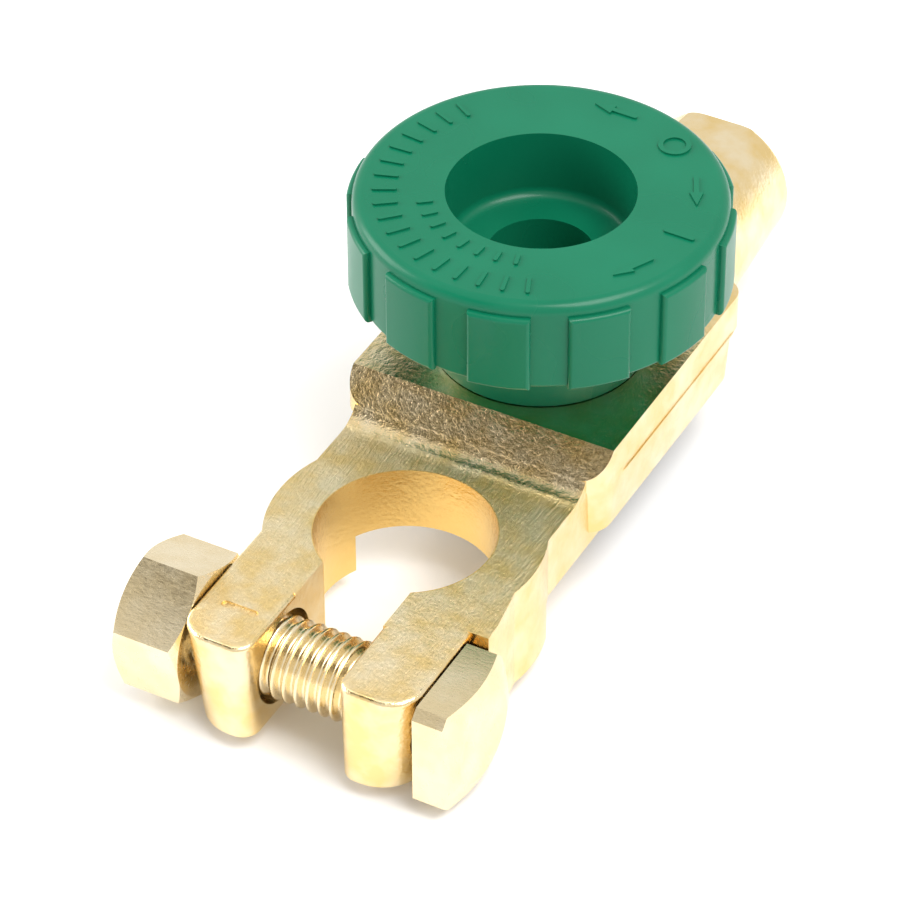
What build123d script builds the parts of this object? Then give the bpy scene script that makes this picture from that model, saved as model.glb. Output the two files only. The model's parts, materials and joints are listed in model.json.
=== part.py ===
from build123d import *
import math
import os

# Battery switch: a post clamp cast in one with a block, and a tapered outlet post whose
# tongue lies insulated in a channel under that block. Screwing the knob down brings a
# contact on its stud onto the tongue and so joins the two.
# Millimetres, +Z up. Origin: axis of the post clamp bore, on the underside of the clamp.
# +X points at the square bolt head, +Y from the clamp past the knob to the outlet post.

# Post clamp
CLAMP_H = 11.2          # height of the ring and ears
BORE_R = 8.7
RING_R = 13.4
SLOT_W = 9.2
EAR_X = 12.1            # half width over the two ears
EAR_FRONT_Y = -21.9
EAR_CORNER_R = 3.2      # outer front corners, at the top
EAR_TOE_X = 11.4        # the same corners at the bottom, drawn in by the mould draft
EAR_TOE_Y = -21.5
EAR_TOE_R = 4.4
EAR_INNER_R = 1.8       # front corners of the slot
EDGE_R = 0.45           # soft cast edges
BLOCK_BACK_Y = 4.0      # where the full-height block steps up to the neck
MARK_X = -8.1           # minus sign sunk in the left ear
MARK_Y = -16.7
MARK_LENGTH = 3.8
MARK_WIDTH = 0.9
MARK_DEPTH = 0.25

# Neck and the block that carries the knob
NECK_X = 12.4
NECK_Z = 4.3
BLOCK_X = 14.0
BLOCK_FRONT_Y = 12.6
BLOCK_TOP = 15.2
BLOCK_END_Y = 44.0
LOWER_END_Y = 43.0
LOWER_Z = 5.8
BLOCK_DRAFT = 4.0
BLOCK_CORNER_R = 3.0
UPPER_CORNER_R = 2.4
FRONT_CHAMFER = 2.6
COVE_Y = 9.7            # where the front wall's cove dies into the clamp top
FLASH = 0.1             # mould parting line left proud along the block

# Channel under the block, lined with insulation, in which the post's tongue lies
CHANNEL_X = 9.8
CHANNEL_FRONT_Y = 17.0
CHANNEL_TOP = 12.2
LINER_GAP = 0.1
LINER_T = 0.6
TONGUE_X = 8.9
TONGUE_FRONT_Y = 18.0
TONGUE_LOW = 6.8
TONGUE_TOP = 11.3
REBATE_X = 12.7
REBATE_FRONT_Y = 15.6
COVER_T = 0.9
COVER_GAP = 0.1
COVER_SLOT_W = 0.4
COVER_SLOT_DEPTH = 0.25
BARRIER_X = 10.2
BARRIER_DROP = 0.3      # the end plate stops this far below the block's top
COVER_SCREW_X = 11.2
COVER_SCREW_Y = (18.6, 39.6)
COVER_SCREW_R = 1.0
COVER_HEAD_R = 1.4
COVER_SCREW_TOP = 13.0
TONGUE_SCREW_X = 5.6
TONGUE_SCREW_Y = 37.5
TONGUE_SCREW_R = 1.5
TONGUE_HEAD_R = 2.6
TONGUE_HEAD_T = 1.5
SLEEVE_R = 2.2
SLEEVE_BORE_R = 1.55
SINK_R = 3.4
SINK_TOP = 9.3
SLEEVE_LIP_T = 0.5
TONGUE_SCREW_TOP = 14.4
SOCKET_AF = 2.0
SOCKET_DEPTH = 0.8
DOWEL_R = 1.4
DOWEL_Y = 20.3
DOWEL_TOP = 14.0

# Outlet post
POST_ROOT_Y = 44.6
POST_END_Y = 67.8
POST_Z = 8.4
POST_END_R = 7.75
POST_TAPER = 1 / 18     # radius lost per millimetre, the usual 1:9 battery post
POST_EDGE_R = 0.8

# Knob and screw
KNOB_Y = 27.0
KNOB_BASE = 15.3
COLLAR_R = 10.5
COLLAR_TOP_R = 11.3
POCKET_R = 9.1
RIM_BASE = 23.5
KNOB_TOP = 33.0
RIM_R = 17.9
RIM_EDGE_R = 1.1
PAD_COUNT = 12
PAD_ANGLE = 19.0
PAD_PROUD = 0.6
PAD_TOP = 31.7
PAD_EDGE_R = 0.4
DISH_R = 9.1
DISH_FLOOR = 25.7
DISH_EDGE_R = 1.0
WELL_R = 5.2
WELL_FLOOR = 22.2
CORE_IN_R = 12.6        # moulding core under the rim
CORE_OUT_R = 15.8
CORE_TOP = 30.4
STUD_R = 4.0
RUN_FIT = 0.05
STUD_TIP_R = 3.2
CONTACT_Z = 11.9        # where the two contacts meet
TIP_T = 1.0
BOSS_R = 7.4
BOSS_TOP = 17.6
SEAL_R = 8.6
SEAL_T = 0.9
SPRING_R = 6.0
SPRING_WIRE_R = 0.25
SPRING_TURNS = 1.5
WASHER_Z = 19.0
WASHER_T = 0.4
HEX_AF = 13.0
HEX_TOP = 21.7
PIN_R = 0.7
STUD_GAP_R = 5.0        # hole in the liner round the contacts
FIXED_CONTACT_R = 4.4
TIP_SEAT_T = 0.6        # depth of the stud's end recess that holds its contact
THRUST_R = 7.0
HEX_PIN_HALF = 6.2

# Raised marks on the knob's top: an O and an I for the two positions, three turning
# arrows, and plain ticks round the other side
MARK_RISE = 0.2
MARK_SUNK = 0.1
MARK_LINE = 0.5
OFF_MARK_ANGLE = 57.0
ON_MARK_ANGLE = -1.0
POSITION_MARK_R = 14.6
POSITION_MARK_SIZE = 3.2
ARROW_R = 14.6
ARROW_LENGTH = 4.6
ARROW_HEAD = 2.0
TURN_OFF_ARROWS = (88.0,)
TURN_ON_ARROWS = (27.0, -27.0)
TICK_LINE = 0.4
OUTER_TICKS = (148.0, 293.0, 18, 14.8, 2.4)     # first angle, last angle, count, radius, length
INNER_TICKS = (218.0, 286.0, 8, 11.1, 1.6)

# Clamp bolt and nut
BOLT_Y = -15.0
BOLT_Z = 5.5
BOLT_R = 4.0
BOLT_HOLE_R = 4.7
HEAD_HALF = 5.7
HEAD_OFF = 0.45         # forged heads of this kind sit a little off the shank
HEAD_X = 12.25
HEAD_T = 4.3
HEAD_FLAT_R = 4.5
HEAD_BEVEL = 22.0       # degrees
HEAD_SPREAD = 5.0       # how far the bevel cone runs out past the flat, beyond the corners
HEAD_CORNER = 0.9
BOLT_TIP_X = -18.7
BOLT_TIP_CHAMFER = 0.6
NUT_AF = 13.0
NUT_FACE_X = -12.15
NUT_T = 7.0
NUT_RIM = 0.25          # the turned bevel starts this far outside the corners
NUT_BEVEL = 30.0        # degrees
NUT_TURN = 10.0         # degrees the nut happens to sit round its axis
SHOULDER_X = 13.9
SHOULDER_Y = -9.6
SHOULDER_END_Y = -3.0


def block(x0, x1, y0, y1, z0, z1):
    """Plain box between two corners, used as a cutter or a starting blank."""
    return Pos((x0 + x1) / 2, (y0 + y1) / 2, (z0 + z1) / 2) * Box(x1 - x0, y1 - y0, z1 - z0)


def disc(radius, z0, z1, x=0.0, y=0.0):
    """Upright round bar between two heights."""
    return Pos(x, y, (z0 + z1) / 2) * Cylinder(radius, z1 - z0)


def ring(outer, inner, z0, z1, x=0.0, y=0.0):
    return disc(outer, z0, z1, x, y) - disc(inner, z0 - 1, z1 + 1, x, y)


def bar_x(radius, x0, x1, y, z):
    """Round bar lying along X."""
    return Pos((x0 + x1) / 2, y, z) * (Rot(0, 90, 0) * Cylinder(radius, x1 - x0))


def hex_x(across_flats, x0, x1, y, z, turn):
    """Hexagonal bar lying along X with its flats turned about the axis."""
    face = Plane(origin=(x0, y, z), x_dir=(0, 1, 0), z_dir=(1, 0, 0))
    outline = face * (Rot(0, 0, turn) * RegularPolygon(across_flats / 2, 6, major_radius=False, rotation=30))
    return extrude(outline, amount=x1 - x0, dir=(1, 0, 0))


def drafted_plate(x_half, y0, y1, z0, z1, corner, draft):
    """Plate that is full size at the top and drawn in towards the bottom by its mould draft."""
    outline = Pos(0, (y0 + y1) / 2, z1) * RectangleRounded(2 * x_half, y1 - y0, corner)
    return extrude(outline, amount=z1 - z0, dir=(0, 0, -1), taper=draft)


def at_cover_screws(maker):
    """One copy of a piece at each of the four cover screws."""
    return [maker(sx * COVER_SCREW_X, y) for sx in (-1, 1) for y in COVER_SCREW_Y]


def at_tongue_screws(maker):
    return [maker(sx * TONGUE_SCREW_X, TONGUE_SCREW_Y) for sx in (-1, 1)]


def block_outline(x_half, y0, y1, corner):
    return Pos(0, (y0 + y1) / 2) * RectangleRounded(2 * x_half, y1 - y0, corner)


def clamp_casting():
    back = -1.0
    top = Pos(0, (EAR_FRONT_Y + back) / 2, CLAMP_H) * RectangleRounded(
        2 * EAR_X, back - EAR_FRONT_Y, EAR_CORNER_R)
    toe = Pos(0, (EAR_TOE_Y + back) / 2, 0) * RectangleRounded(2 * EAR_TOE_X, back - EAR_TOE_Y, EAR_TOE_R)
    ears = loft([toe, top]) - block(-SLOT_W / 2, SLOT_W / 2, EAR_FRONT_Y - 2, 2, -1, CLAMP_H + 1)
    slot_corners = [e for e in ears.edges() if abs(abs(e.center().X) - SLOT_W / 2) < 0.01
                    and e.center().Y < EAR_TOE_Y + 0.3 and e.bounding_box().size.Z > CLAMP_H - 1]
    ears = fillet(slot_corners, EAR_INNER_R)
    lips = ears.edges().filter_by(lambda e: abs(e.center().Z - CLAMP_H) < 0.01
                                  and e.center().Y < back - 0.5 and e.bounding_box().size.Z < 0.01)
    ears = fillet(lips, EDGE_R)
    ring_body = disc(RING_R, 0, CLAMP_H)
    rear = block(-NECK_X + 1.0, NECK_X - 1.0, 0, BLOCK_BACK_Y, 0, CLAMP_H)
    neck = block(-NECK_X, NECK_X, 2, BLOCK_FRONT_Y + 4, NECK_Z, CLAMP_H)
    under = block(-20, 20, BLOCK_BACK_Y, 20, -1, NECK_Z)
    shoulder = extrude(make_face(Polyline(
        (EAR_X - 2, SHOULDER_Y), (SHOULDER_X, SHOULDER_Y), (SHOULDER_X - 0.1, SHOULDER_Y + 2),
        (RING_R - 0.3, SHOULDER_END_Y), (EAR_X - 2, SHOULDER_END_Y), close=True)), amount=CLAMP_H)
    head = (ears + ring_body + rear + shoulder) - under
    lower = drafted_plate(BLOCK_X, BLOCK_FRONT_Y, LOWER_END_Y, LOWER_Z, CLAMP_H,
                          BLOCK_CORNER_R, BLOCK_DRAFT)
    upper = Pos(0, 0, CLAMP_H) * block_outline(BLOCK_X, BLOCK_FRONT_Y, BLOCK_END_Y, UPPER_CORNER_R)
    upper = extrude(upper, amount=BLOCK_TOP - CLAMP_H)
    ramp = extrude(make_face(Plane.YZ * Polyline(
        (BLOCK_FRONT_Y - 1, BLOCK_TOP - FRONT_CHAMFER - 1),
        (BLOCK_FRONT_Y + FRONT_CHAMFER + 1, BLOCK_TOP + 1),
        (BLOCK_FRONT_Y - 1, BLOCK_TOP + 1), close=True)), amount=BLOCK_X + 2, both=True)
    flash = Pos(0, 0, CLAMP_H - FLASH) * block_outline(
        BLOCK_X + FLASH, BLOCK_FRONT_Y + 3, LOWER_END_Y + FLASH, UPPER_CORNER_R)
    flash = extrude(flash, amount=2 * FLASH)
    rise = BLOCK_TOP - FRONT_CHAMFER - CLAMP_H
    run = BLOCK_FRONT_Y - COVE_Y
    cove_r = (run ** 2 + rise ** 2) / (2 * rise)
    cove = block(-NECK_X, NECK_X, COVE_Y, BLOCK_FRONT_Y + 1, CLAMP_H - 1, CLAMP_H + rise)
    cove -= bar_x(cove_r, -BLOCK_X, BLOCK_X, COVE_Y, CLAMP_H + cove_r)
    cove = cove & block(-NECK_X, NECK_X, COVE_Y, BLOCK_FRONT_Y + 1, CLAMP_H - 1, CLAMP_H + rise)
    boss = disc(BOSS_R, BLOCK_TOP - 1, BOSS_TOP, 0, KNOB_Y)
    body = head + neck + lower + (upper - ramp) + flash + cove + boss
    body -= disc(BORE_R, -1, CLAMP_H + 1)
    body -= block(-SLOT_W / 2, SLOT_W / 2, -RING_R - 1, 0, -1, CLAMP_H + 1)
    mark = Pos(MARK_X, MARK_Y, CLAMP_H - MARK_DEPTH) * SlotOverall(MARK_LENGTH, MARK_WIDTH)
    body -= extrude(mark, amount=1)
    body -= bar_x(BOLT_HOLE_R, -EAR_X - 4, SHOULDER_X + 4, BOLT_Y, BOLT_Z)
    body -= disc(STUD_R + RUN_FIT, CHANNEL_TOP - 1, BOSS_TOP + 1, 0, KNOB_Y)
    body -= block(-CHANNEL_X, CHANNEL_X, CHANNEL_FRONT_Y, BLOCK_END_Y + 1, 0, CHANNEL_TOP)
    body -= block(-REBATE_X, REBATE_X, REBATE_FRONT_Y, BLOCK_END_Y + 1, 0, TONGUE_LOW)
    for hole in at_cover_screws(lambda x, y: disc(COVER_SCREW_R, 0, COVER_SCREW_TOP, x, y)):
        body -= hole
    for hole in at_tongue_screws(lambda x, y: disc(TONGUE_SCREW_R, 0, TONGUE_SCREW_TOP, x, y)):
        body -= hole
    return body - disc(DOWEL_R, 0, DOWEL_TOP, 0, DOWEL_Y)


def post_casting():
    root_r = POST_END_R + POST_TAPER * (POST_END_Y - POST_ROOT_Y)
    length = POST_END_Y - POST_ROOT_Y
    middle = (POST_ROOT_Y + POST_END_Y) / 2
    post = Pos(0, middle, POST_Z) * (Rot(-90, 0, 0) * Cone(root_r, POST_END_R, length))
    post = fillet(post.edges().filter_by(GeomType.CIRCLE).sort_by(Axis.Y)[-1:], POST_EDGE_R)
    post -= block(-20, 20, POST_ROOT_Y - 1, POST_END_Y + 1, BLOCK_TOP, BLOCK_TOP + 10)
    body = post + block(-TONGUE_X, TONGUE_X, TONGUE_FRONT_Y, POST_ROOT_Y + 1, TONGUE_LOW, TONGUE_TOP)
    for hole in at_tongue_screws(lambda x, y: disc(SLEEVE_R, 0, 20, x, y) + disc(SINK_R, 0, SINK_TOP, x, y)):
        body -= hole
    return body - disc(DOWEL_R, 0, 20, 0, DOWEL_Y)


def channel_liner():
    """Insulating lining of the channel: two walls, a nose and a roof."""
    x = CHANNEL_X - LINER_GAP
    end = BLOCK_END_Y
    body = block(-x, x, CHANNEL_FRONT_Y + LINER_GAP, end, TONGUE_LOW, CHANNEL_TOP)
    body -= block(-x + LINER_T, x - LINER_T, CHANNEL_FRONT_Y + LINER_GAP + LINER_T, end + 1,
                  TONGUE_LOW - 1, TONGUE_TOP)
    body -= disc(STUD_GAP_R, 0, 20, 0, KNOB_Y) + disc(DOWEL_R, 0, 20, 0, DOWEL_Y)
    for hole in at_tongue_screws(lambda x, y: disc(SLEEVE_R, 0, 20, x, y)):
        body -= hole
    return body


def end_barrier():
    """Insulating plate between the end of the block and the root of the post."""
    body = block(-BARRIER_X, BARRIER_X, BLOCK_END_Y, POST_ROOT_Y, LOWER_Z, BLOCK_TOP - BARRIER_DROP)
    return body - block(-TONGUE_X, TONGUE_X, 0, POST_ROOT_Y + 1, TONGUE_LOW, TONGUE_TOP)


def base_cover():
    body = block(-REBATE_X + COVER_GAP, REBATE_X - COVER_GAP, REBATE_FRONT_Y + COVER_GAP,
                 LOWER_END_Y - 2 * COVER_GAP, TONGUE_LOW - COVER_T, TONGUE_LOW)
    for hole in at_cover_screws(lambda x, y: disc(COVER_SCREW_R, 0, 20, x, y) +
                                disc(COVER_HEAD_R, 0, TONGUE_LOW - COVER_T / 2, x, y)):
        body -= hole
    return body - disc(DOWEL_R, 0, 20, 0, DOWEL_Y)


def cover_screws():
    def one(x, y):
        low = TONGUE_LOW - COVER_T
        head = disc(COVER_HEAD_R - 0.05, low, TONGUE_LOW - COVER_T / 2, x, y)
        slot = block(x - COVER_HEAD_R, x + COVER_HEAD_R, y - COVER_SLOT_W / 2, y + COVER_SLOT_W / 2,
                     low - 1, low + COVER_SLOT_DEPTH)
        return head + disc(COVER_SCREW_R, low + 0.1, COVER_SCREW_TOP, x, y) - slot
    return at_cover_screws(one)


def tongue_sleeves():
    def one(x, y):
        lip = ring(SINK_R - 0.1, SLEEVE_BORE_R, SINK_TOP - SLEEVE_LIP_T, SINK_TOP, x, y)
        return lip + ring(SLEEVE_R, SLEEVE_BORE_R, SINK_TOP - SLEEVE_LIP_T, CHANNEL_TOP, x, y)
    return at_tongue_screws(one)


def tongue_screws():
    def one(x, y):
        top = SINK_TOP - SLEEVE_LIP_T
        head = disc(TONGUE_HEAD_R, top - TONGUE_HEAD_T, top, x, y)
        socket = Pos(x, y, top - TONGUE_HEAD_T) * RegularPolygon(SOCKET_AF / 2, 6, major_radius=False)
        shank = disc(TONGUE_SCREW_R, top - 0.1, TONGUE_SCREW_TOP, x, y)
        return head + shank - extrude(socket, amount=SOCKET_DEPTH)
    return at_tongue_screws(one)


def nose_dowel():
    return disc(DOWEL_R, TONGUE_LOW - COVER_T, DOWEL_TOP, 0, DOWEL_Y)


def fixed_contact():
    return disc(FIXED_CONTACT_R, TONGUE_TOP, CONTACT_Z, 0, KNOB_Y)


def moving_contact():
    return disc(STUD_TIP_R, CONTACT_Z, CONTACT_Z + TIP_T, 0, KNOB_Y)


def pin_height():
    return (WASHER_Z + WASHER_T + HEX_TOP) / 2


def contact_stud():
    shank = disc(STUD_R, CONTACT_Z + TIP_T - TIP_SEAT_T, HEX_TOP, 0, KNOB_Y)
    shank -= disc(STUD_TIP_R, 0, CONTACT_Z + TIP_T, 0, KNOB_Y)
    return shank - bar_x(PIN_R, -10, 10, KNOB_Y, pin_height())


def hex_z(across_flats, z0, z1):
    outline = Pos(0, KNOB_Y, z0) * RegularPolygon(across_flats / 2, 6, major_radius=False)
    return extrude(outline, amount=z1 - z0)


def drive_hex():
    z0 = WASHER_Z + WASHER_T
    body = hex_z(HEX_AF, z0, HEX_TOP) - disc(STUD_R, z0 - 1, HEX_TOP + 1, 0, KNOB_Y)
    return body - bar_x(PIN_R, -10, 10, KNOB_Y, pin_height())


def drive_pin():
    return bar_x(PIN_R, -HEX_PIN_HALF, HEX_PIN_HALF, KNOB_Y, pin_height())


def dust_seal():
    return ring(SEAL_R, BOSS_R, BLOCK_TOP, BLOCK_TOP + SEAL_T, 0, KNOB_Y)


def lift_spring():
    height = WASHER_Z - BOSS_TOP - 2 * SPRING_WIRE_R
    path = Helix(pitch=height / SPRING_TURNS, height=height, radius=SPRING_R)
    start = Plane(origin=path @ 0, z_dir=path % 0)
    coil = sweep(start * Circle(SPRING_WIRE_R), path=path, is_frenet=True)
    return Pos(0, KNOB_Y, BOSS_TOP + SPRING_WIRE_R) * coil


def thrust_washer():
    return ring(THRUST_R, STUD_R + 0.3, WASHER_Z, WASHER_Z + WASHER_T, 0, KNOB_Y)


def grip_pad():
    """One raised pad of the rim, centred on +X of the knob's own axis, with rounded outer edges."""
    half = math.radians(PAD_ANGLE / 2)
    reach = RIM_R + 3
    wedge = make_face(Polyline((0, 0), (reach * math.cos(half), -reach * math.sin(half)),
                               (reach * math.cos(half), reach * math.sin(half)), close=True))
    pad = extrude(Pos(0, 0, RIM_BASE) * wedge, amount=PAD_TOP - RIM_BASE, dir=(0, 0, 1))
    pad &= ring(RIM_R + PAD_PROUD, RIM_R - 1, RIM_BASE, PAD_TOP)
    outer = [e for e in pad.edges() if math.hypot((e @ 0.5).X, (e @ 0.5).Y) > RIM_R + PAD_PROUD / 2]
    return fillet(outer, PAD_EDGE_R)


def on_rim(angle, radius):
    return Pos(0, KNOB_Y, KNOB_TOP - MARK_SUNK) * Rot(0, 0, angle) * Pos(radius, 0, 0)


def arrow(turn_way):
    """Flat arrow along the rim; turn_way is 1 for anticlockwise and -1 for clockwise."""
    half = ARROW_LENGTH / 2
    shaft = SlotOverall(ARROW_LENGTH - ARROW_HEAD / 2, MARK_LINE, rotation=90)
    shaft = Pos(0, -turn_way * ARROW_HEAD / 4) * shaft
    tip = Polyline((0, turn_way * half), (-ARROW_HEAD / 3, turn_way * (half - ARROW_HEAD)),
                   (ARROW_HEAD / 3, turn_way * (half - ARROW_HEAD)), close=True)
    return shaft + make_face(tip)


def knob_marks():
    flat = [on_rim(OFF_MARK_ANGLE, POSITION_MARK_R) * (
        Circle(POSITION_MARK_SIZE / 2) - Circle(POSITION_MARK_SIZE / 2 - MARK_LINE))]
    flat += [on_rim(ON_MARK_ANGLE, POSITION_MARK_R) * SlotOverall(POSITION_MARK_SIZE, MARK_LINE)]
    flat += [on_rim(a, ARROW_R) * arrow(1) for a in TURN_OFF_ARROWS]
    flat += [on_rim(a, ARROW_R) * arrow(-1) for a in TURN_ON_ARROWS]
    for first, last, count, radius, length in (OUTER_TICKS, INNER_TICKS):
        step = (last - first) / (count - 1)
        flat += [on_rim(first + i * step, radius) * SlotOverall(length, TICK_LINE) for i in range(count)]
    return [extrude(f, amount=MARK_RISE + MARK_SUNK, dir=(0, 0, 1)) for f in flat]


def knob():
    collar = Pos(0, KNOB_Y, (KNOB_BASE + RIM_BASE) / 2) * Cone(COLLAR_R, COLLAR_TOP_R, RIM_BASE - KNOB_BASE)
    rim = disc(RIM_R, RIM_BASE, KNOB_TOP, 0, KNOB_Y)
    rim = fillet(rim.edges().filter_by(GeomType.CIRCLE).sort_by(Axis.Z)[-1:], RIM_EDGE_R)
    rim = fillet(rim.edges().filter_by(GeomType.CIRCLE).sort_by(Axis.Z)[:1], PAD_EDGE_R)
    body = collar + rim
    pad = grip_pad()
    for i in range(PAD_COUNT):
        body += Pos(0, KNOB_Y, 0) * Rot(0, 0, (i + 0.5) * 360 / PAD_COUNT) * pad
    dish = disc(DISH_R, DISH_FLOOR, KNOB_TOP + 1, 0, KNOB_Y)
    dish = fillet(dish.edges().filter_by(GeomType.CIRCLE).sort_by(Axis.Z)[:1], DISH_EDGE_R)
    body -= dish
    body -= disc(WELL_R, WELL_FLOOR, KNOB_TOP, 0, KNOB_Y)
    body -= ring(CORE_OUT_R, CORE_IN_R, RIM_BASE - 1, CORE_TOP, 0, KNOB_Y)
    body -= disc(POCKET_R, KNOB_BASE - 1, WASHER_Z + WASHER_T, 0, KNOB_Y)
    body -= hex_z(HEX_AF, KNOB_BASE, HEX_TOP)
    for mark in knob_marks():
        body += mark
    return body


def clamp_bolt():
    y, z = BOLT_Y - HEAD_OFF, BOLT_Z - HEAD_OFF
    head = block(HEAD_X, HEAD_X + HEAD_T, y - HEAD_HALF, y + HEAD_HALF, z - HEAD_HALF, z + HEAD_HALF)
    head = chamfer(head.edges().filter_by(Axis.X), HEAD_CORNER)
    rise = HEAD_SPREAD * math.tan(math.radians(HEAD_BEVEL))
    cone = Pos(HEAD_X + HEAD_T - rise / 2, y, z) * (
        Rot(0, 90, 0) * Cone(HEAD_FLAT_R + HEAD_SPREAD, HEAD_FLAT_R, rise))
    head &= cone + bar_x(HEAD_FLAT_R + HEAD_SPREAD, HEAD_X - 1, HEAD_X + HEAD_T - rise, y, z)
    shank = bar_x(BOLT_R, BOLT_TIP_X, HEAD_X + 0.5, BOLT_Y, BOLT_Z)
    shank = chamfer(shank.edges().filter_by(GeomType.CIRCLE).sort_by(Axis.X)[:1], BOLT_TIP_CHAMFER)
    return head + shank


def clamp_nut():
    x0 = NUT_FACE_X - NUT_T
    body = hex_x(NUT_AF, x0, NUT_FACE_X, BOLT_Y, BOLT_Z, NUT_TURN)
    corner = NUT_AF / math.sqrt(3)
    spread = corner - NUT_AF / 2 + NUT_RIM
    drop = spread * math.tan(math.radians(NUT_BEVEL))
    barrel = bar_x(corner + NUT_RIM, x0, NUT_FACE_X, BOLT_Y, BOLT_Z)
    barrel = chamfer(barrel.edges().filter_by(GeomType.CIRCLE), length=drop, length2=spread)
    body &= barrel
    return body - bar_x(BOLT_R + RUN_FIT, x0 - 1, NUT_FACE_X + 1, BOLT_Y, BOLT_Z)


PIECES = [
    clamp_casting,
    post_casting,
    channel_liner,
    end_barrier,
    base_cover,
    cover_screws,
    tongue_sleeves,
    tongue_screws,
    nose_dowel,
    fixed_contact,
    moving_contact,
    contact_stud,
    drive_hex,
    drive_pin,
    dust_seal,
    lift_spring,
    thrust_washer,
    knob,
    clamp_bolt,
    clamp_nut,
]

os.makedirs("parts", exist_ok=True)
for maker in PIECES:
    made = maker()
    if isinstance(made, list):
        made = Compound(children=made)
    export_step(made, f"parts/{maker.__name__}.step")
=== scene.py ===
import json
import math

import bmesh
import bpy
from mathutils import Matrix, Vector


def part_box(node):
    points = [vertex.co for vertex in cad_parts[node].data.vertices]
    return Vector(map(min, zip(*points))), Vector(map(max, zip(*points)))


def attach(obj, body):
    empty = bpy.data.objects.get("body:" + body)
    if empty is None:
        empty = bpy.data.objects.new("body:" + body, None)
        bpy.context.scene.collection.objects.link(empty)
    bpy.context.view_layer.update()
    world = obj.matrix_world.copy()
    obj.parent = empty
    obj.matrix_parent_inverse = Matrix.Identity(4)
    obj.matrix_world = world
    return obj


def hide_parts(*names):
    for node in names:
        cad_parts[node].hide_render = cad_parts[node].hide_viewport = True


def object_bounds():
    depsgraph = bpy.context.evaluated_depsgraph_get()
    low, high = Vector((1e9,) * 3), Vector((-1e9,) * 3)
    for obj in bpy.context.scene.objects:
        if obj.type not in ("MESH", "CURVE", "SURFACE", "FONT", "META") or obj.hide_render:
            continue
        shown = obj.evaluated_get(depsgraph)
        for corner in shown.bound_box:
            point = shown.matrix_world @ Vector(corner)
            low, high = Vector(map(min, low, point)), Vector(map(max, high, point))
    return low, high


# Battery switch: materials for every CAD node, a real thread on the clamp bolt, and the studio.
# Metres, in the CAD frame.

MM = 0.001

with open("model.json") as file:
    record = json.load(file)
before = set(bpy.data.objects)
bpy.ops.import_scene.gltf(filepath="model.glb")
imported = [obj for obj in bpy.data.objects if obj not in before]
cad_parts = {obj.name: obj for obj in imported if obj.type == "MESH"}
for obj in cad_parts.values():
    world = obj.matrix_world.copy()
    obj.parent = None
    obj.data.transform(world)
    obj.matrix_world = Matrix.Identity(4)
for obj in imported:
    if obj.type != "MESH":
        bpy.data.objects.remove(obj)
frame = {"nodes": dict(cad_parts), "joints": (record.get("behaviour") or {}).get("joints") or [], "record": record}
cad_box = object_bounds()
nodes = frame["nodes"]


# ---------------------------------------------------------------- materials

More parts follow.
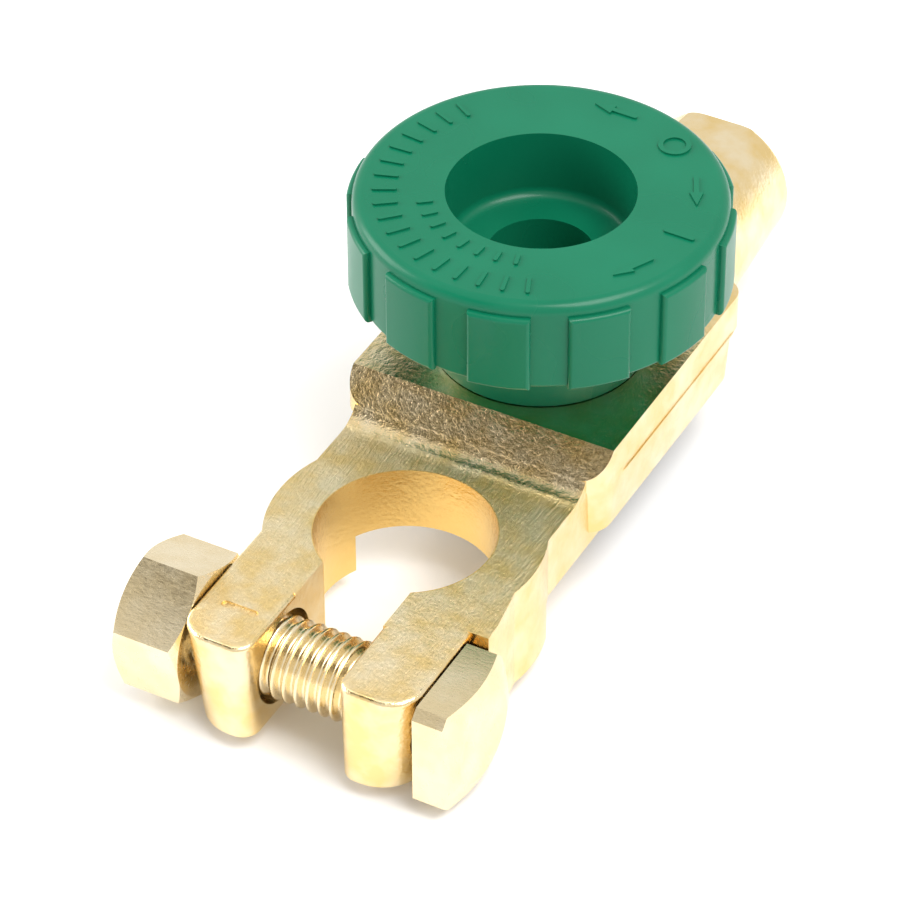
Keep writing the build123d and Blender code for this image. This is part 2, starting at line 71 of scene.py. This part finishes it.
class Shader:
    """A Principled material with short helpers for procedural detail."""

    def __init__(self, name, color, metallic=0.0, roughness=0.4):
        self.mat = bpy.data.materials.new(name)
        self.mat.use_nodes = True
        self.nodes = self.mat.node_tree.nodes
        self.links = self.mat.node_tree.links
        self.bsdf = self.nodes["Principled BSDF"]
        self.bsdf.inputs["Base Color"].default_value = (*color, 1)
        self.bsdf.inputs["Metallic"].default_value = metallic
        self.bsdf.inputs["Roughness"].default_value = roughness
        self.coords = self.nodes.new("ShaderNodeTexCoord").outputs["Object"]
        self.normal = None

    def scaled(self, x, y, z):
        """Object coordinates stretched per axis, in cycles per metre."""
        node = self.nodes.new("ShaderNodeMapping")
        node.inputs["Scale"].default_value = (x, y, z)
        self.links.new(self.coords, node.inputs["Vector"])
        return node.outputs["Vector"]

    def noise(self, vector, detail=3.0, rough=0.55):
        node = self.nodes.new("ShaderNodeTexNoise")
        node.inputs["Scale"].default_value = 1.0
        node.inputs["Detail"].default_value = detail
        node.inputs["Roughness"].default_value = rough
        self.links.new(vector, node.inputs["Vector"])
        return node.outputs["Fac"]

    def span(self, value, low, high, to_low, to_high):
        node = self.nodes.new("ShaderNodeMapRange")
        for key, number in (("From Min", low), ("From Max", high), ("To Min", to_low), ("To Max", to_high)):
            node.inputs[key].default_value = number
        self.links.new(value, node.inputs["Value"])
        return node.outputs["Result"]

    def times(self, a, b):
        node = self.nodes.new("ShaderNodeMath")
        node.operation = "MULTIPLY"
        self.links.new(a, node.inputs[0])
        self.links.new(b, node.inputs[1])
        return node.outputs[0]

    def pick(self, factor, first, second):
        """Goes from the first value to the second as the factor goes from 0 to 1."""
        node = self.nodes.new("ShaderNodeMix")
        self.links.new(factor, node.inputs[0])
        self.links.new(first, node.inputs[2])
        self.links.new(second, node.inputs[3])
        return node.outputs[0]

    def facing_up(self, low=0.9, high=0.98):
        """1 on faces that look straight up, 0 elsewhere."""
        geo = self.nodes.new("ShaderNodeNewGeometry")
        split = self.nodes.new("ShaderNodeSeparateXYZ")
        self.links.new(geo.outputs["Normal"], split.inputs[0])
        return self.span(split.outputs["Z"], low, high, 0.0, 1.0)

    def bump(self, height, distance, strength=1.0, mask=None):
        node = self.nodes.new("ShaderNodeBump")
        node.inputs["Distance"].default_value = distance
        node.inputs["Strength"].default_value = strength
        if mask is not None:
            self.links.new(self.span(mask, 0, 1, 0, strength), node.inputs["Strength"])
        self.links.new(height, node.inputs["Height"])
        if self.normal is not None:
            self.links.new(self.normal, node.inputs["Normal"])
        self.normal = node.outputs["Normal"]
        self.links.new(self.normal, self.bsdf.inputs["Normal"])

    def rough(self, value):
        self.links.new(value, self.bsdf.inputs["Roughness"])

    def blend(self, factor, first, second):
        """Mixes two colours, each a tuple or the output of another node."""
        node = self.nodes.new("ShaderNodeMix")
        node.data_type = "RGBA"
        for socket, color in ((node.inputs[6], first), (node.inputs[7], second)):
            if isinstance(color, tuple):
                socket.default_value = (*color, 1)
            else:
                self.links.new(color, socket)
        self.links.new(factor, node.inputs[0])
        return node.outputs[2]

    def color(self, value):
        self.links.new(value, self.bsdf.inputs["Base Color"])

    def tint(self, factor, first, second):
        self.color(self.blend(factor, first, second))

    def height(self):
        split = self.nodes.new("ShaderNodeSeparateXYZ")
        self.links.new(self.coords, split.inputs[0])
        return split.outputs["Z"]

    def distance_from_z_axis(self):
        node = self.nodes.new("ShaderNodeVectorMath")
        node.operation = "LENGTH"
        self.links.new(self.scaled(1, 1, 0), node.inputs[0])
        return node.outputs["Value"]


GOLD = (0.92, 0.77, 0.50)
GOLD_WARM = (0.87, 0.64, 0.28)
# Painted shade and painted reflection: the darker, warmer gold of the gold walls reflecting each other inside the
# bore.
BORE_PAINTED_SHADE_AND_REFLECTION = (0.86, 0.60, 0.22)
CLAMP_TOP = 11.2 * MM
BORE_R = 8.7 * MM


def plated_casting():
    """Bright plating: grainy as cast on the sides, finely brushed on the clamp's top, with darker, warmer gold
    painted in the bore as painted shade and painted reflection of the gold walls.
    """
    s = Shader("plated_casting", GOLD, 1.0, 0.2)
    cloud = s.noise(s.scaled(260, 260, 260), 3.0)
    # Mask of the bore wall, where the painted shade and reflection colour replaces the plain gold.
    bore_painted_shade_mask = s.span(s.distance_from_z_axis(), BORE_R + 0.15 * MM, BORE_R + 0.05 * MM, 0, 1)
    outer = s.blend(s.span(cloud, 0.35, 0.65, 0, 1), GOLD, GOLD_WARM)
    s.color(s.blend(bore_painted_shade_mask, outer, BORE_PAINTED_SHADE_AND_REFLECTION))
    grain = s.noise(s.scaled(2600, 2600, 2600), 4.0, 0.6)
    pits = s.noise(s.scaled(900, 900, 900), 2.0)
    scratches = s.noise(s.scaled(4500, 380, 1), 4.0, 0.7)
    top = s.times(s.facing_up(), s.span(s.height(), CLAMP_TOP + 0.3 * MM, CLAMP_TOP + 0.1 * MM, 0, 1))
    s.bump(grain, 0.00012, 0.5)
    s.bump(pits, 0.0001, 0.35)
    s.bump(scratches, 0.00014, 0.9, top)
    s.rough(s.pick(top, s.span(grain, 0.3, 0.7, 0.12, 0.26), s.span(scratches, 0.3, 0.7, 0.3, 0.46)))
    return s.mat


FASTENER = (0.92, 0.79, 0.54)
FASTENER_WARM = (0.86, 0.70, 0.42)


def plated_fastener():
    s = Shader("plated_fastener", FASTENER, 1.0, 0.24)
    grain = s.noise(s.scaled(1500, 3800, 1500), 3.0, 0.6)
    s.bump(grain, 0.00002, 0.5)
    s.rough(s.span(grain, 0.3, 0.7, 0.18, 0.3))
    cloud = s.noise(s.scaled(220, 220, 220), 2.0)
    s.tint(s.span(cloud, 0.35, 0.65, 0, 1), FASTENER, FASTENER_WARM)
    return s.mat


def turned_brass():
    s = Shader("turned_brass", (0.78, 0.58, 0.28), 1.0, 0.3)
    rings = s.noise(s.scaled(900, 900, 5000), 2.0)
    s.bump(rings, 0.00002, 0.4)
    s.rough(s.span(rings, 0.3, 0.7, 0.22, 0.36))
    return s.mat


def zinc_steel():
    s = Shader("zinc_steel", (0.62, 0.63, 0.64), 1.0, 0.34)
    grain = s.noise(s.scaled(2500, 2500, 2500), 3.0)
    s.bump(grain, 0.00002, 0.4)
    s.rough(s.span(grain, 0.3, 0.7, 0.26, 0.42))
    return s.mat


def black_insulation():
    s = Shader("black_insulation", (0.03, 0.03, 0.032), 0.0, 0.55)
    grain = s.noise(s.scaled(3000, 3000, 3000), 3.0)
    s.bump(grain, 0.00003, 0.5)
    s.rough(s.span(grain, 0.3, 0.7, 0.45, 0.65))
    return s.mat


def pressed_felt():
    s = Shader("pressed_felt", (0.1, 0.1, 0.1), 0.0, 0.95)
    s.bump(s.noise(s.scaled(2200, 2200, 2200), 5.0, 0.7), 0.0001, 0.8)
    return s.mat


GREEN = (0.002, 0.14, 0.068)
GREEN_LIGHT = (0.003, 0.155, 0.077)


def knob_plastic():
    s = Shader("knob_plastic", GREEN, 0.0, 0.3)
    s.bsdf.inputs["Specular IOR Level"].default_value = 0.22
    s.bsdf.inputs["Coat Weight"].default_value = 0.06
    s.bsdf.inputs["Coat Roughness"].default_value = 0.12
    s.bsdf.inputs["Subsurface Weight"].default_value = 0.04
    s.bsdf.inputs["Subsurface Radius"].default_value = (0.001, 0.003, 0.002)
    wave = s.noise(s.scaled(120, 120, 90), 1.0)
    skin = s.noise(s.scaled(4200, 4200, 4200), 2.0)
    s.bump(wave, 0.0002, 0.12)
    s.bump(skin, 0.00001, 0.35)
    s.rough(s.span(wave, 0.35, 0.65, 0.26, 0.36))
    s.tint(s.span(wave, 0.3, 0.7, 0, 1), GREEN, GREEN_LIGHT)
    return s.mat


MATERIALS = {
    "plated_casting": plated_casting(),
    "plated_fastener": plated_fastener(),
    "contact_brass": turned_brass(),
    "steel": zinc_steel(),
    "insulator": black_insulation(),
    "felt": pressed_felt(),
    "knob_plastic": knob_plastic(),
}

slot_of = {p["node"]: p["material_slot"] for p in frame["record"]["subparts"]}
for node_name, obj in nodes.items():
    obj.data.materials.clear()
    obj.data.materials.append(MATERIALS[slot_of[node_name]])


def soften(name, width, angle=30.0):
    """Rounds the sharp edges of a CAD node a little, as plating and handling do."""
    mod = nodes[name].modifiers.new("soft_edges", "BEVEL")
    mod.width = width
    mod.segments = 2
    mod.limit_method = "ANGLE"
    mod.angle_limit = math.radians(angle)
    mod.harden_normals = False


# ---------------------------------------------------------------- pieces

THREAD_PITCH = 1.25 * MM
THREAD_DEPTH = 0.68 * MM
THREAD_FADE = 0.8 * MM      # length over which the thread starts at the bolt's tip
CREST_SHARE = 0.12          # flat part of the crest
FLANK_SHARE = 0.72
SHANK_R = 4.0 * MM
SHANK_LENGTH = 31.0 * MM
THREAD_OVERLAP = 0.2 * MM   # how far the threaded bar runs into the head


def thread_height(phase):
    """Share of full thread height at a place in the pitch: flat crest, sloped flanks, rounded root."""
    d = abs(phase - 0.5) * 2
    return 1 - min(1, max(0, (d - CREST_SHARE) / FLANK_SHARE)) ** 1.15


def threaded_bar(x0, x1, y, z, radius, around=72, per_pitch=12):
    """Vertices and faces of a bar along X whose surface is one continuous screw thread."""
    steps = round((x1 - x0) / THREAD_PITCH * per_pitch)
    verts, faces = [], []
    for i in range(steps + 1):
        x = x0 + (x1 - x0) * i / steps
        fade = min(1, (x - x0) / THREAD_FADE)
        for j in range(around):
            turn = j / around
            phase = (x / THREAD_PITCH + turn) % 1
            r = radius - THREAD_DEPTH + THREAD_DEPTH * thread_height(phase) * fade
            verts.append((x, y + r * math.cos(turn * math.tau), z + r * math.sin(turn * math.tau)))
    for i in range(steps):
        for j in range(around):
            k = (j + 1) % around
            a, b = i * around, (i + 1) * around
            faces.append((a + j, a + k, b + k, b + j))
    faces.append(tuple(reversed(range(around))))
    faces.append(tuple(steps * around + j for j in range(around)))
    return verts, faces


def find_joint(name):
    return next(j for j in frame["joints"] if j["name"] == name)


def make_bolt():
    """The clamp bolt with its real screw thread; the head keeps its CAD shape."""
    shank_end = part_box("clamp_bolt")[0].x
    y, z = find_joint("nut_turn")["pos_m"][1:]
    bm = bmesh.new()
    bm.from_mesh(nodes["clamp_bolt"].data)
    plain_shank = [v for v in bm.verts if v.co.x < shank_end + SHANK_LENGTH - THREAD_OVERLAP
                   and math.hypot(v.co.y - y, v.co.z - z) < SHANK_R + 0.1 * MM]
    bmesh.ops.delete(bm, geom=plain_shank, context="VERTS")
    verts, faces = threaded_bar(shank_end, shank_end + SHANK_LENGTH + THREAD_OVERLAP, y, z, SHANK_R)
    made = [bm.verts.new(v) for v in verts]
    for corners in faces:
        bm.faces.new([made[i] for i in corners]).smooth = True
    mesh = bpy.data.meshes.new("threaded_bolt")
    bm.to_mesh(mesh)
    bm.free()
    obj = bpy.data.objects.new("threaded_bolt", mesh)
    bpy.context.scene.collection.objects.link(obj)
    obj.data.materials.append(MATERIALS["plated_fastener"])
    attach(obj, "bolt")
    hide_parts("clamp_bolt")


make_bolt()

soften("clamp_casting", 0.18 * MM)
soften("post_casting", 0.18 * MM)
soften("clamp_nut", 0.12 * MM)
soften("knob", 0.06 * MM)


# ---------------------------------------------------------------- studio

FLOOR_COLOR = (0.93, 0.93, 0.93)
CARD_COLOR = (0.06, 0.045, 0.015)
FLOOR_HALF = 3.0


def add_plain(name, corners, color, roughness):
    """One flat four-cornered sheet of the studio, in a plain paint."""
    mesh = bpy.data.meshes.new(name)
    mesh.from_pydata(corners, [], [(0, 1, 2, 3)])
    obj = bpy.data.objects.new(name, mesh)
    bpy.context.scene.collection.objects.link(obj)
    mat = bpy.data.materials.new(name + "_paint")
    mat.use_nodes = True
    bsdf = mat.node_tree.nodes["Principled BSDF"]
    bsdf.inputs["Base Color"].default_value = (*color, 1)
    bsdf.inputs["Roughness"].default_value = roughness
    obj.data.materials.append(mat)
    return obj


def add_floor():
    a, z = FLOOR_HALF, cad_box[0][2]
    add_plain("floor", [(-a, -a, z), (a, -a, z), (a, a, z), (-a, a, z)], FLOOR_COLOR, 0.8)


def add_light(name, place, aim, size, power):
    light = bpy.data.lights.new(name, "AREA")
    light.shape = "RECTANGLE"
    light.size, light.size_y = size
    light.energy = power
    obj = bpy.data.objects.new(name, light)
    bpy.context.scene.collection.objects.link(obj)
    obj.location = place
    obj.rotation_euler = (Vector(aim) - Vector(place)).to_track_quat("-Z", "Y").to_euler()
    obj.visible_camera = False


def add_dark_card(name, place, aim, width, height):
    """Dark card outside the picture, so that polished faces have something dark to show."""
    w, h = width / 2, height / 2
    obj = add_plain(name, [(-w, -h, 0), (w, -h, 0), (w, h, 0), (-w, h, 0)], CARD_COLOR, 0.9)
    obj.location = place
    obj.rotation_euler = (Vector(aim) - Vector(place)).to_track_quat("Z", "Y").to_euler()
    obj.visible_camera = False


def add_world(color, strength):
    world = bpy.data.worlds.new("studio")
    world.use_nodes = True
    back = world.node_tree.nodes["Background"]
    back.inputs["Color"].default_value = (*color, 1)
    back.inputs["Strength"].default_value = strength
    bpy.context.scene.world = world


def add_camera(azimuth, elevation, roll, target, distance, lens):
    a, e, q = (math.radians(v) for v in (azimuth, elevation, roll))
    right = Vector((math.cos(a), math.sin(a), 0))
    ahead = Vector((-math.sin(a) * math.cos(e), math.cos(a) * math.cos(e), -math.sin(e)))
    up = right.cross(ahead)
    right, up = right * math.cos(q) + up * math.sin(q), up * math.cos(q) - right * math.sin(q)
    data = bpy.data.cameras.new("camera")
    data.lens = lens
    data.sensor_width = 36
    data.clip_start = 0.01
    obj = bpy.data.objects.new("camera", data)
    bpy.context.scene.collection.objects.link(obj)
    spin = Matrix((right, up, -ahead)).transposed().to_4x4()
    obj.matrix_world = Matrix.Translation(Vector(target) - ahead * distance) @ spin
    bpy.context.scene.camera = obj


add_floor()
add_world((1.0, 1.0, 1.0), 0.9)
add_dark_card("front_card", (-0.036, -0.054, 0.093), (0, 0.014, 0.014), 0.08, 0.052)
add_light("key", (0.32, -0.05, 0.62), (0, 0.02, 0.01), (0.4, 0.4), 4)
add_light("fill", (-0.6, -0.1, 0.3), (0, 0.02, 0.01), (0.4, 0.4), 3)
add_camera(28.636, 39.813, -0.346, (-0.00262, 0.01356, 0.010), 0.4444, 185.97)
bpy.context.scene.view_settings.view_transform = "Standard"
